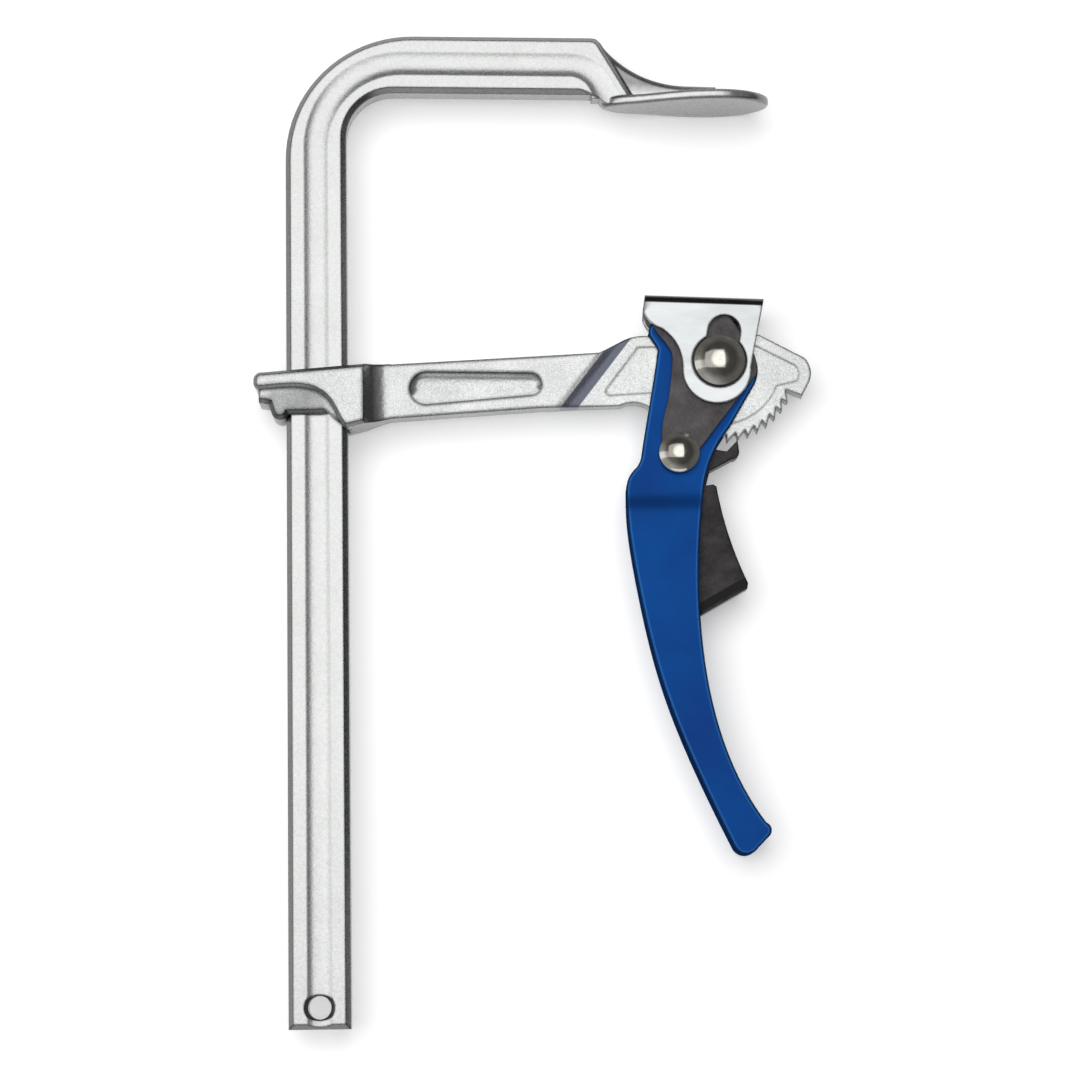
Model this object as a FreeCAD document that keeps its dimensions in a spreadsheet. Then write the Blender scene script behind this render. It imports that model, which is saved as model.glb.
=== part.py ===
import FreeCAD, Part
import math
import os

from FreeCAD import Placement, Rotation, Vector

doc = FreeCAD.newDocument("lever_clamp")

# Driving dimensions in millimetres and degrees
SIZES = [
    ("rail_width", 24.0, "bar of the bail, edge to edge"),
    ("rail_thickness", 12.0, "bar of the bail, face to face"),
    ("rail_edge", 2.0, "bevel along the bar's long edges"),
    ("rail_end", 8.3, "hanging hole's centre to the rail's lower end"),
    ("hole_diameter", 9.0, "hanging hole"),
    ("hole_bevel", 1.5, "countersink of the hanging hole"),
    ("arm_level", 373.7, "fixed arm's centre line above the hanging hole, at the rail's axis"),
    ("arm_depth", 23.4, "fixed arm, top edge to bottom edge"),
    ("arm_reach", 113.0, "rail's axis to the start of the fixed arm's neck"),
    ("toe_in", 1.4, "fall of the fixed arm towards its jaw, degrees"),
    ("corner_outer", 50.0, "outer radius of the bail's bend"),
    ("corner_inner", 18.5, "inner radius of the bail's bend"),
    ("groove_width", 9.5, "concave groove on both faces of the bar"),
    ("groove_depth", 1.0, "concave groove at its middle"),
    ("jaw_length", 68.0, "fixed jaw's pad along the arm"),
    ("jaw_half_width", 15.0, "fixed jaw's pad, middle to rim"),
    ("jaw_thickness", 3.9, "fixed jaw's pad"),
    ("rib_round", 3.0, "rounding of the rib behind the fixed jaw"),
    ("jaw_drop", 16.5, "fixed arm's centre line down to the jaw's working face"),
    ("slide_height", 240.0, "sliding arm's level above the hanging hole"),
    ("running_gap", 0.3, "play of the collar on the rail and between flat moving faces"),
    ("collar_half", 11.0, "collar's thick band, middle to face"),
    ("collar_core_half", 8.9, "collar's lower part, middle to face"),
    ("beam_half", 4.7, "sliding arm's beam, middle to face"),
    ("recess_depth", 1.8, "beam's forged recess"),
    ("forged_edge", 1.4, "rounding of the collar's and beam's forged edges"),
    ("ramp_length", 4.5, "ramp from the beam down to the head"),
    ("head_half", 3.6, "sliding arm's head, middle to face"),
    ("panel_depth", 0.35, "coined panel of the head"),
    ("pivot_reach", 158.6, "rail's axis to the handle's pivot"),
    ("pivot_rise", 9.4, "handle's pivot above the sliding arm's level"),
    ("shank_radius", 6.0, "pivot rivet's shank"),
    ("pivot_play", 0.05, "radial play of the pivot rivet in the head"),
    ("pivot_head_radius", 9.9, "pivot rivet's domed head"),
    ("pivot_head_height", 4.2, "pivot rivet's domed head"),
    ("pawl_shank_radius", 3.8, "pawl rivet's shank"),
    ("pawl_head_radius", 7.9, "pawl rivet's domed head"),
    ("pawl_head_height", 3.6, "pawl rivet's domed head"),
    ("pawl_left", 16.4, "pawl rivet to the left of the pivot"),
    ("pawl_drop", 36.0, "pawl rivet below the pivot"),
    ("tooth_tip", 31.2, "ratchet teeth, tip radius about the pivot"),
    ("tooth_root", 28.3, "ratchet teeth, root radius about the pivot"),
    ("tooth_pitch", 7.8, "ratchet teeth, degrees"),
    ("tooth_count", 8.0, "ratchet teeth before the end stop"),
    ("sheet_handle", 1.8, "steel sheet of the handle"),
    ("grip_half", 9.2, "handle's grip channel, middle to outer face"),
    ("cam_thickness", 2.5, "cam plate"),
    ("sheet_cap", 2.0, "steel sheet of the pressure cap"),
    ("cap_height", 26.0, "pressure cap's working face above the pivot"),
    ("cap_tilt", 2.7, "fall of the pressure cap's face away from the rail, degrees"),
    ("cap_travel", 10.4, "pressure cap's travel along its slots"),
    ("slot_lean", 10.6, "lean of the cap's slots away from the rail, degrees"),
    ("slot_length", 12.0, "pressure cap's slots beyond the round opening"),
    ("slot_half_width", 6.5, "pressure cap's slots"),
    ("keyhole_radius", 10.8, "round opening at the slots' lower end"),
    ("wire_diameter", 0.9, "pawl spring's wire"),
]

sheet = doc.addObject("Spreadsheet::Sheet", "sizes")
for row, (alias, value, note) in enumerate(SIZES, start=1):
    sheet.set(f"A{row}", alias)
    sheet.set(f"B{row}", str(value))
    sheet.set(f"C{row}", note)
    sheet.setAlias(f"B{row}", alias)
doc.recompute()


class Sizes:
    """The spreadsheet's cells as numbers."""

    def __getattr__(self, alias):
        return float(sheet.get(alias))


size = Sizes()
THROUGH = 400.0
ear_inner = size.head_half + size.running_gap
ear_outer = ear_inner + size.sheet_handle
cam_outer = ear_outer + size.cam_thickness
cheek_inner = cam_outer + size.running_gap
cheek_outer = cheek_inner + size.sheet_cap
steps_open = int(size.tooth_count) - 1
open_angle = math.radians(steps_open * size.tooth_pitch)


class Outline:
    """A closed run of lines, arcs and curves in a sketch's plane."""

    def __init__(self, x, y):
        self.first = Vector(x, y, 0)
        self.last = self.first
        self.edges = []

    def line(self, x, y):
        target = Vector(x, y, 0)
        self.edges.append(Part.LineSegment(self.last, target))
        self.last = target
        return self

    def arc(self, via, end):
        target = Vector(*end, 0)
        self.edges.append(Part.Arc(self.last, Vector(*via, 0), target))
        self.last = target
        return self

    def curve(self, *points):
        through = [self.last] + [Vector(*p, 0) for p in points]
        spline = Part.BSplineCurve()
        spline.interpolate(through)
        self.edges.append(spline)
        self.last = through[-1]
        return self

    def loop(self, *points):
        """A smooth closed curve through the first point and the given ones."""
        spline = Part.BSplineCurve()
        spline.interpolate([self.first] + [Vector(*p, 0) for p in points], PeriodicFlag=True)
        self.edges.append(spline)
        return self.edges

    def close(self):
        if self.last.distanceToPoint(self.first) > 1e-7:
            self.edges.append(Part.LineSegment(self.last, self.first))
        return self.edges


def circle(x, y, radius):
    return [Part.Circle(Vector(x, y, 0), Vector(0, 0, 1), radius)]


def plane_of(body, role):
    return next(o for o in body.Origin.OriginFeatures if o.Role == role)


def sketch_on(body, name, role, edges, offset=0.0, turn=0.0):
    """A sketch on one of the body's planes, moved along its normal and turned about its upright."""
    sketch = body.newObject("Sketcher::SketchObject", name)
    sketch.AttachmentSupport = [(plane_of(body, role + "_Plane"), "")]
    sketch.MapMode = "FlatFace"
    sketch.AttachmentOffset = Placement(Vector(0, 0, offset), Rotation(Vector(0, 1, 0), turn))
    for edge in edges:
        sketch.addGeometry(edge, False)
    return sketch


def pad(body, name, role, edges, length, offset=0.0, symmetric=True):
    sketch = sketch_on(body, name + "_sketch", role, edges, offset)
    feature = body.newObject("PartDesign::Pad", name)
    feature.Profile = sketch
    feature.SideType = "Symmetric" if symmetric else "One side"
    feature.setExpression("Length", length)
    sketch.Visibility = False
    return feature


def pocket(body, name, role, edges, length=None, offset=0.0, symmetric=True, reversed_cut=False, turn=0.0):
    sketch = sketch_on(body, name + "_sketch", role, edges, offset, turn)
    feature = body.newObject("PartDesign::Pocket", name)
    feature.Profile = sketch
    feature.SideType = "Symmetric" if symmetric else "One side"
    feature.Reversed = reversed_cut
    if length is None:
        feature.Length = THROUGH
    else:
        feature.setExpression("Length", length)
    return feature


def mirror(body, name, originals):
    """The given features again on the other side of the XY plane."""
    feature = body.newObject("PartDesign::Mirrored", name)
    feature.Originals = originals
    feature.MirrorPlane = (plane_of(body, "XY_Plane"), [""])
    body.Tip = feature
    return feature


def edges_where(shape, wanted):
    """Names of the edges whose middle point passes the test."""
    names = []
    for number, edge in enumerate(shape.Edges, start=1):
        middle = edge.valueAt((edge.FirstParameter + edge.LastParameter) / 2)
        if wanted(edge, middle):
            names.append(f"Edge{number}")
    return names


def round_edges(body, name, kind, expression, wanted):
    """A Fillet or Chamfer on the wanted edges of what the body has so far."""
    doc.recompute()
    base = body.Tip
    feature = body.newObject("PartDesign::" + kind, name)
    feature.Base = (base, edges_where(base.Shape, wanted))
    feature.setExpression("Radius" if kind == "Fillet" else "Size", expression)
    return feature


def new_body(name):
    body = doc.addObject("PartDesign::Body", name)
    body.Label = name
    return body


def place_at_pivot(target):
    """Everything that the handle's pivot carries is drawn about the pivot's centre."""
    target.setExpression("Placement.Base.x", "sizes.pivot_reach")
    target.setExpression("Placement.Base.y", "sizes.slide_height + sizes.pivot_rise")


def polar(radius, degrees):
    angle = math.radians(degrees)
    return radius * math.cos(angle), radius * math.sin(angle)


# Bail: rail, bend, fixed arm and jaw in one forging
half_rail = size.rail_width / 2
half_thick = size.rail_thickness / 2
fall = math.tan(math.radians(size.toe_in))
toe = math.radians(size.toe_in)


def arm_axis(x):
    return size.arm_level - x * fall


def arm_top(x):
    return arm_axis(x) + size.arm_depth / 2


def arm_bottom(x):
    return arm_axis(x) - size.arm_depth / 2


def rounded_corner(corner, before, after, radius):
    """Start, middle and end of the arc that rounds a corner between two directions."""
    turn = before.getAngle(after)
    tangent = radius * math.tan(turn / 2)
    inward = (after - before).normalize()
    middle = corner + inward * (radius / math.cos(turn / 2) - radius)
    start = corner - before * tangent
    end = corner + after * tangent
    return [(point.x, point.y) for point in (start, middle, end)]


def bend(radius, side):
    """Centre of a bend tangent to one edge of the rail and the same edge of the arm."""
    x = side + radius
    edge = arm_top(x) if side < 0 else arm_bottom(x)
    if side == 0:
        edge = arm_axis(x)
    return x, edge - radius / math.cos(toe)


def bend_arc(radius, side):
    """Start, middle and end of that bend, from the rail to the arm."""
    x, y = bend(radius, side)
    start = (x - radius, y)
    middle = (x - radius * math.sqrt(0.5), y + radius * math.sqrt(0.5))
    end = (x + radius * math.sin(toe), y + radius * math.cos(toe))
    return start, middle, end


jaw_face = arm_axis(size.arm_reach) - size.jaw_drop
jaw_back = jaw_face + size.jaw_thickness
neck_start = size.arm_reach
neck_foot = neck_start + 14.0
along_arm = Vector(math.cos(toe), -math.sin(toe), 0)
down_slant = Vector(neck_foot - neck_start, jaw_back - arm_top(neck_start), 0).normalize()
across_slant = Vector(-down_slant.y, down_slant.x, 0)
rib_end = neck_start + 49.0
rib_crest = 4.2


def bar_outline():
    outer = bend_arc(size.corner_outer, -half_rail)
    inner = bend_arc(size.corner_inner, half_rail)
    run = Outline(-half_rail, -size.rail_end)
    run.line(*outer[0]).arc(outer[1], outer[2])
    shoulder = rounded_corner(Vector(neck_start, arm_top(neck_start), 0), along_arm, down_slant, 5.5)
    run.line(*shoulder[0]).arc(shoulder[1], shoulder[2])
    run.line(neck_foot, jaw_back).line(neck_foot, jaw_face + 0.5)
    run.line(neck_start + 4, jaw_face + 0.9)
    run.arc((neck_start + 1.2, jaw_face + 2.2), (neck_start, arm_bottom(neck_start) - 1.0))
    run.line(neck_start - 2.5, arm_bottom(neck_start - 2.5))
    run.line(*inner[2]).arc(inner[1], inner[0])
    run.line(half_rail, -size.rail_end)
    return run.close()


def rib_outline():
    """The concave rib that carries the jaw's pad."""
    run = Outline(neck_start - 3, arm_top(neck_start - 3))
    run.line(neck_start, arm_top(neck_start))
    drop = arm_top(neck_start) - jaw_back - rib_crest
    crest = jaw_back + rib_crest
    run.arc((neck_start + 12.9, crest + drop * 0.37), (neck_start + 33.5, crest + 0.6))
    run.line(rib_end - 2, jaw_back + rib_crest)
    run.line(rib_end, jaw_back - 0.5)
    run.line(neck_start - 3, jaw_back - 0.5)
    return run.close()


def jaw_outline():
    """The pad in plan: an oval that narrows to the bar's width at its heel."""
    w = size.jaw_half_width
    tip = neck_start + size.jaw_length
    wide = tip - 23.5
    heel = neck_start + 1.5
    side = [(heel + 4, 5.6), (heel + 15, w * 0.6), (heel + 28, w * 0.86), (wide, w), (wide + 14.5, w * 0.8)]
    points = [(x, -z) for x, z in side] + [(tip, 0)] + [(x, z) for x, z in reversed(side)]
    return Outline(heel, 0).loop(*points)


jaw = new_body("bail_jaw")
rib_half = half_thick - size.rail_edge
scoop_floor = 2.4
pad(jaw, "rib", "XY", rib_outline(), "sizes.rail_thickness - 2 * sizes.rail_edge")


def on_rib_back(edge, middle):
    return abs(abs(middle.z) - rib_half) < 1e-6 and middle.x > neck_start + 1 and middle.y > jaw_back + 1


def scoop_outline():
    """The hollow between the arm's slanted end and the rib, seen along that end."""
    start = across_slant.x * neck_start + across_slant.y * arm_top(neck_start) + 0.2
    depth = rib_half - scoop_floor
    run = Outline(start, rib_half)
    run.arc((start + depth * 0.9, rib_half - depth * 0.8), (start + depth * 3, scoop_floor))
    run.line(start + 60, scoop_floor - 1).line(start + 60, half_thick).line(start, half_thick)
    return run.close()


round_edges(jaw, "rib_back", "Fillet", "sizes.rib_round", on_rib_back)
pocket(jaw, "scoop", "XZ", scoop_outline(), turn=math.degrees(math.atan2(across_slant.y, across_slant.x)))
mirror(jaw, "scoops", [jaw.Tip])
jaw_pad = new_body("bail_jaw_pad")
pad(jaw_pad, "jaw_pad", "XZ", jaw_outline(), "sizes.jaw_thickness", offset=-jaw_back, symmetric=False)
round_edges(jaw_pad, "jaw_rim", "Fillet", "sizes.jaw_thickness * 0.35",
            lambda edge, middle: edge.Length > size.jaw_length)
bar = new_body("bail_bar")
pad(bar, "bar", "XY", bar_outline(), "sizes.rail_thickness")


def on_bar_edge(edge, middle):
    slanted_end = middle.x > neck_start and middle.y > jaw_back + 1
    return abs(abs(middle.z) - half_thick) < 1e-6 and (slanted_end or middle.x < neck_start - 2.6)


round_edges(bar, "bar_bevel", "Chamfer", "sizes.rail_edge", on_bar_edge)


groove_turn = 14.0


def groove_path():
    """Up the rail, round the bend, along the arm and down beside the arm's slanted end."""
    start, middle, end = bend_arc(half_rail + size.corner_inner + 3.5, 0)
    turn = Vector(neck_start - 3.7, arm_axis(neck_start - 3.7), 0)
    lower = rounded_corner(turn, along_arm, down_slant, groove_turn)
    foot = turn + down_slant * (size.arm_depth * 0.75)
    run = Outline(0, -size.rail_end - 1)
    run.line(*start).arc(middle, end)
    run.line(*lower[0]).arc(lower[1], lower[2]).line(foot.x, foot.y)
    return run.edges


groove_radius = (size.groove_width ** 2 / 4 + size.groove_depth ** 2) / (2 * size.groove_depth)
groove_centre = half_thick - size.groove_depth + groove_radius
spine = sketch_on(bar, "groove_path", "XY", groove_path())
section = sketch_on(bar, "groove_section", "XZ", circle(0, groove_centre, groove_radius),
                    offset=size.rail_end + 1)
groove = bar.newObject("PartDesign::SubtractivePipe", "groove")
groove.Profile = section
groove.Spine = (spine, ["Edge1", "Edge2", "Edge3", "Edge4", "Edge5"])
mirror(bar, "grooves", [groove])
hole_radius = size.hole_diameter / 2
flare = Outline(0, -half_thick - 1).line(hole_radius + size.hole_bevel + 1, -half_thick - 1)
flare.line(hole_radius, -half_thick + size.hole_bevel).line(hole_radius, half_thick - size.hole_bevel)
flare.line(hole_radius + size.hole_bevel + 1, half_thick + 1).line(0, half_thick + 1)
hole_sketch = sketch_on(bar, "hanging_hole_sketch", "XZ", flare.close())
hole = bar.newObject("PartDesign::Groove", "hanging_hole")
hole.Profile = hole_sketch
hole.ReferenceAxis = (hole_sketch, ["V_Axis"])
hole.Angle = 360.0
bail = doc.addObject("Part::MultiFuse", "bail")
bail.Shapes = [bar, jaw, jaw_pad]
bail.Label = "bail"


# Sliding arm: collar, beam and head with the ratchet teeth, in one forging
arm = new_body("sliding_arm")
arm.setExpression("Placement.Base.y", "sizes.slide_height")
head_x = size.pivot_reach
head_y = size.pivot_rise
left_wall = -half_rail - 10.6
beam_start = half_rail + 17.0


def core_outline():
    run = Outline(left_wall, 7.0).line(half_rail + 8, 10.0).line(beam_start, 10.9)
    run.line(beam_start, -11.0).line(half_rail - 0.6, -15.0).line(half_rail - 4, -12.2)
    run.line(half_rail - 7.3, -9.0).line(-half_rail + 1, -9.2)
    run.arc((-half_rail - 2, -11.2), (left_wall + 5, -8.7))
    run.line(left_wall + 3.8, -5.0).line(left_wall, -4.3)
    return run.close()


def band_outline():
    left = left_wall - 2
    run = Outline(left, 4.0).arc((left + 0.9, 6.4), (left + 3.5, 7.3))
    run.line(beam_start, 10.9).line(beam_start, -11.0).line(half_rail - 0.6, -15.2)
    run.curve((half_rail - 4.5, -9.2), (half_rail - 7.2, -4.4), (half_rail - 12.3, -0.3),
              (half_rail - 18.2, 1.2), (left + 3, 0.6))
    run.arc((left + 0.8, 1.2), (left, 3.0))
    return run.close()


def waist_outline():
    """What is cut away between the thick collar and the beam, seen from above."""
    run = Outline(half_rail + 6.5, size.collar_half + 1).line(half_rail + 6.5, size.collar_half)
    run.arc((half_rail + 9.7, size.beam_half + 2.5), (beam_start, size.beam_half))
    run.line(beam_start + 1, size.beam_half).line(beam_start + 1, size.collar_half + 1)
    return run.close()


def passage_outline():
    x = half_rail + size.running_gap
    z = half_thick + size.running_gap
    edge = size.rail_edge
    run = Outline(-x, -z + edge).line(-x, z - edge).line(-x + edge, z).line(x - edge, z).line(x, z - edge)
    run.line(x, -z + edge).line(x - edge, -z).line(-x + edge, -z)
    return run.close()


ramp_top = (head_x - 39.2, 18.1)
ramp_foot = (head_x - 59.5, -7.3)
ramp_turn = math.atan2(ramp_top[1] - ramp_foot[1], ramp_top[0] - ramp_foot[0]) - math.pi / 2


def ramp_outline():
    """What is cut away above the ramp, seen along it."""
    end = ramp_top[0] * math.cos(ramp_turn) + ramp_top[1] * math.sin(ramp_turn)
    start = end - size.ramp_length
    above = size.beam_half + 1
    run = Outline(start, size.beam_half).line(end, size.head_half).line(end + 1, size.head_half)
    return run.line(end + 1, above).line(start, above).close()


def beam_outline():
    run = Outline(half_rail + 6, 10.2).line(head_x - 62.6, 13.6).line(head_x - 47.2, 14.3)
    run.line(*ramp_top).line(*ramp_foot).line(head_x - 70.8, -7.5).line(half_rail + 6, -11.6)
    return run.close()


first_face = 360.0 - 77.2 - size.tooth_pitch
stop_radius = size.tooth_tip + 4.1


def tooth_face(number):
    """Angle of a tooth's steep face, counted from the closed end."""
    return first_face + number * size.tooth_pitch


def head_outline():
    """The head's outline; the teeth are steep towards the closed end and slope towards the open one."""
    stop = tooth_face(int(size.tooth_count)) + 0.5
    corner = polar(stop_radius, stop)
    run = Outline(head_x - 66, -7.4).line(head_x - 66, 13.3).line(head_x - 47.2, 14.3)
    run.line(head_x - 39, 18.5).arc((head_x - 33.5, 20.6), (head_x - 27.3, 20.9))
    run.line(head_x + 16.2, 20.9).line(head_x + 34, 11.3)
    run.arc((head_x + 35.7, 8.6), (head_x + 35.8, 2.0)).line(head_x + corner[0], head_y + corner[1])
    for number in range(int(size.tooth_count), -1, -1):
        face = stop if number == int(size.tooth_count) else tooth_face(number)
        root = polar(size.tooth_root, face)
        run.line(head_x + root[0], head_y + root[1])
        if number > 0:
            tip = polar(size.tooth_tip, tooth_face(number - 1))
            run.line(head_x + tip[0], head_y + tip[1])
    hidden = polar(size.tooth_root, first_face - 22)
    along = polar(size.tooth_root, first_face - 11)
    run.arc((head_x + along[0], head_y + along[1]), (head_x + hidden[0], head_y + hidden[1]))
    run.curve((head_x - 19, -14.8), (head_x - 28.2, -7.5), (head_x - 39.4, -7.0))
    return run.close()


def panel_outline():
    ring = size.tooth_root - 3.9
    near = polar(ring, -22)
    low = polar(ring, -70)
    far = polar(ring, -118)
    run = Outline(head_x - 31.1, 16.5).line(head_x + 14.7, 16.5).line(head_x + 30, 8.5)
    run.arc((head_x + 31.6, 5.6), (head_x + 30.6, 2.1)).line(head_x + near[0], head_y + near[1])
    run.arc((head_x + low[0], head_y + low[1]), (head_x + far[0], head_y + far[1]))
    run.line(head_x - 27, -1.9).line(head_x - 42.4, -2.7)
    run.arc((head_x - 44.6, -1.6), (head_x - 44.4, 0.0)).line(head_x - 32.5, 15.4)
    run.arc((head_x - 32, 16.2), (head_x - 31.1, 16.5))
    return run.edges


def recess_outline():
    """A long recess with round ends, wider towards the rail."""
    start, start_y, start_r = half_rail + 31.1, 1.05, 6.6
    end, end_y, end_r = head_x - 74.4, 2.15, 4.5
    run = Outline(start, start_y + start_r).line(end, end_y + end_r)
    run.arc((end + end_r, end_y), (end, end_y - end_r)).line(start, start_y - start_r)
    run.arc((start - start_r, start_y), (start, start_y + start_r))
    return run.edges


def at_height(height, left=-THROUGH, right=THROUGH):
    """Picks the edges on the faces at this height, between two distances from the rail."""
    return lambda edge, middle: abs(abs(middle.z) - height) < 1e-6 and left < middle.x < right


def on_core_foot(edge, middle):
    return at_height(size.collar_core_half, right=half_rail - 8)(edge, middle) and middle.y < -4


pad(arm, "collar_core", "XY", core_outline(), "2 * sizes.collar_core_half")
pad(arm, "collar_band", "XY", band_outline(), "2 * sizes.collar_half")
round_edges(arm, "core_edges", "Chamfer", "1.2 * sizes.forged_edge", on_core_foot)
round_edges(arm, "collar_edges", "Chamfer", "sizes.forged_edge",
            at_height(size.collar_half, right=beam_start - 1))
pocket(arm, "waist", "XZ", waist_outline())
mirror(arm, "waists", [arm.Tip])
pad(arm, "beam", "XY", beam_outline(), "2 * sizes.beam_half")
pocket(arm, "ramp", "XZ", ramp_outline(), turn=math.degrees(ramp_turn))
mirror(arm, "ramps", [arm.Tip])
recess = pocket(arm, "recess", "XY", recess_outline(), "sizes.recess_depth",
                offset=size.beam_half, symmetric=False)
mirror(arm, "recesses", [recess])
round_edges(arm, "recess_foot", "Fillet", "0.9 * sizes.recess_depth",
            at_height(size.beam_half - size.recess_depth, half_rail + 20, head_x - 65))
pad(arm, "head", "XY", head_outline(), "2 * sizes.head_half")
panel = pocket(arm, "panel", "XY", panel_outline(), "sizes.panel_depth",
               offset=size.head_half, symmetric=False)
mirror(arm, "panels", [panel])
pocket(arm, "rail_passage", "XZ", passage_outline())
pocket(arm, "pivot_hole", "XY", circle(head_x, head_y, size.shank_radius + size.pivot_play))


# Cam profile: an involute, so the cap sinks evenly as the handle opens
def toward(degrees):
    angle = math.radians(degrees)
    return Vector(math.cos(angle), math.sin(angle), 0)


cap_normal = 90.0 - size.cap_tilt
cap_underside = size.cap_height - size.sheet_cap
cap_sink = size.cap_travel * math.cos(math.radians(size.slot_lean - size.cap_tilt))
cam_rate = cap_sink / open_angle


def cam_flank(gap, count=7):
    """Points of the profile that stays the given gap under the cap, from closed to open."""
    points = []
    for step in range(count):
        turned = open_angle * step / (count - 1)
        normal = toward(cap_normal - math.degrees(turned))
        along = Vector(-normal.y, normal.x, 0)
        point = normal * (cap_underside - gap - cam_rate * turned) + along * cam_rate
        points.append((point.x, point.y))
    return points


def flank_slope():
    """Direction of the profile's last straight stretch."""
    return toward(cap_normal - math.degrees(open_angle) - 90)


def flank_end(gap):
    """Where the profile's last straight stretch meets the round lobe beside the pivot."""
    last = cam_flank(gap)[-1]
    slope = flank_slope()
    return last[0] + slope.x * 12.5, last[1] + slope.y * 12.5


def tangent_middle(start, slope, end):
    """Middle of the arc that leaves the start along the slope, bends to its right and meets the end."""
    chord = Vector(*end, 0) - start
    normal = Vector(slope.y, -slope.x, 0)
    radius = chord.Length ** 2 / (2 * normal.dot(chord))
    centre = start + normal * radius
    outward = (start + chord * 0.5 - centre).normalize()
    middle = centre + outward * radius
    return middle.x, middle.y


pawl_x = -size.pawl_left
pawl_y = -size.pawl_drop
seat_gap = 0.2


def cam_outline():
    flank = cam_flank(seat_gap)
    run = Outline(*flank[0]).curve(*flank[1:]).line(*flank_end(seat_gap))
    lobe_end = (14.6, -5.2)
    run.arc(tangent_middle(run.last, flank_slope(), lobe_end), lobe_end)
    run.line(pawl_x + 8.1, pawl_y + 1.4)
    run.arc((pawl_x + 1.4, pawl_y - 7.4), (pawl_x - 6.5, pawl_y + 3.0))
    run.curve((-21.9, -20.7), (-20.0, -13.1), (-18.7, -2.9), (-18.6, 3.6), (-23.8, 11.5), (-25.6, 14.6))
    return run.close()


def cam_plate(name, side):
    body = new_body(name)
    start = ear_outer if side > 0 else -cam_outer
    pad(body, name + "_plate", "XY", cam_outline(), "sizes.cam_thickness", offset=start, symmetric=False)
    pocket(body, name + "_pivot_hole", "XY", circle(0, 0, size.shank_radius))
    pocket(body, name + "_pawl_hole", "XY", circle(pawl_x, pawl_y, size.pawl_shank_radius))
    place_at_pivot(body)
    return body


cam_front = cam_plate("cam_plate_front", 1)
cam_back = cam_plate("cam_plate_back", -1)


# Pressure cap: one pressing with a top plate and two cheeks
def cap_edge(x, height):
    """A point at the given height above the pivot, square to the cap's face."""
    return x, (height - x * math.sin(math.radians(size.cap_tilt))) / math.cos(math.radians(size.cap_tilt))


CAP_LEFT = -28.8
CAP_RIGHT = 18.2


def cheek_outline():
    left = cap_edge(CAP_LEFT, size.cap_height)
    right = cap_edge(CAP_RIGHT, size.cap_height)
    lobe = size.keyhole_radius + 2.5
    run = Outline(*left).line(*right).line(12.3, -2.6)
    run.arc((-1.0, -3.6 - lobe), (-14.3, -2.6))
    run.curve((-16.2, 6.2), (-22.5, 13.3))
    run.arc((-27.3, 16.4), (-29.4, 20.6))
    return run.close()


def inside_outline():
    run = Outline(*cap_edge(CAP_LEFT - 5, cap_underside)).line(*cap_edge(CAP_RIGHT + 5, cap_underside))
    run.line(CAP_RIGHT + 5, -30).line(CAP_LEFT - 5, -30)
    return run.close()


def slot_outline():
    lean = math.radians(size.slot_lean)
    along = Vector(math.sin(lean), math.cos(lean), 0)
    across = Vector(along.y, -along.x, 0) * size.slot_half_width
    end = along * size.slot_length
    crown = end + along * size.slot_half_width
    run = Outline(-across.x, -across.y).line(end.x - across.x, end.y - across.y)
    run.arc((crown.x, crown.y), (end.x + across.x, end.y + across.y)).line(across.x, across.y)
    return run.close()


cap = new_body("pressure_cap")
ears_and_cams = "sizes.head_half + sizes.sheet_handle + sizes.cam_thickness + 2 * sizes.running_gap"
pad(cap, "cap_block", "XY", cheek_outline(), f"2 * ({ears_and_cams} + sizes.sheet_cap)")
pocket(cap, "cap_inside", "XY", inside_outline(), f"2 * ({ears_and_cams})")


def on_outer_bend(edge, middle):
    on_face = abs(abs(middle.z) - cheek_outer) < 1e-6
    return on_face and abs(middle.y - cap_edge(middle.x, size.cap_height)[1]) < 1e-6


def on_inner_bend(edge, middle):
    on_face = abs(abs(middle.z) - cheek_inner) < 1e-6
    return on_face and abs(middle.y - cap_edge(middle.x, cap_underside)[1]) < 1e-6


round_edges(cap, "inner_bends", "Fillet", "0.8 * sizes.running_gap", on_inner_bend)
round_edges(cap, "outer_bends", "Fillet", "2.1 * sizes.sheet_cap", on_outer_bend)
pocket(cap, "keyholes", "XY", circle(0, 0, size.keyhole_radius))
pocket(cap, "slots", "XY", slot_outline())
place_at_pivot(cap)


# Rivets: a shank with a domed head at each end, turned about their axis
def dome(shoulder, seat, rise, side):
    """A spherical dome in the turning section: up to its top on one side, down from it on the other."""
    radius = (shoulder ** 2 + rise ** 2) / (2 * rise)
    reach = math.asin(shoulder / radius)
    upright = side * math.pi / 2
    centre = Vector(0, side * (seat + rise - radius), 0)
    ball = Part.Circle(centre, Vector(0, 0, 1), radius)
    ends = sorted([upright, upright - side * reach])
    return Part.ArcOfCircle(ball, ends[0], ends[1])


def rivet(name, shank, head, height, seat):
    body = new_body(name)
    rim = 0.8
    shoulder = head - 0.4
    top = dome(shoulder, seat + rim, height - rim, 1)
    foot = dome(shoulder, seat + rim, height - rim, -1)
    run = Outline(0, -seat - height).line(0, seat + height)
    run.edges.append(top)
    run.last = Vector(shoulder, seat + rim, 0)
    run.line(head, seat + rim - 0.3).line(head, seat).line(shank, seat).line(shank, -seat).line(head, -seat)
    run.line(head, -seat - rim + 0.3).line(shoulder, -seat - rim)
    run.edges.append(foot)
    sketch = sketch_on(body, name + "_profile", "XZ", run.edges)
    feature = body.newObject("PartDesign::Revolution", name + "_turned")
    feature.Profile = sketch
    feature.ReferenceAxis = (sketch, ["V_Axis"])
    feature.Angle = 360.0
    return body


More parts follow.
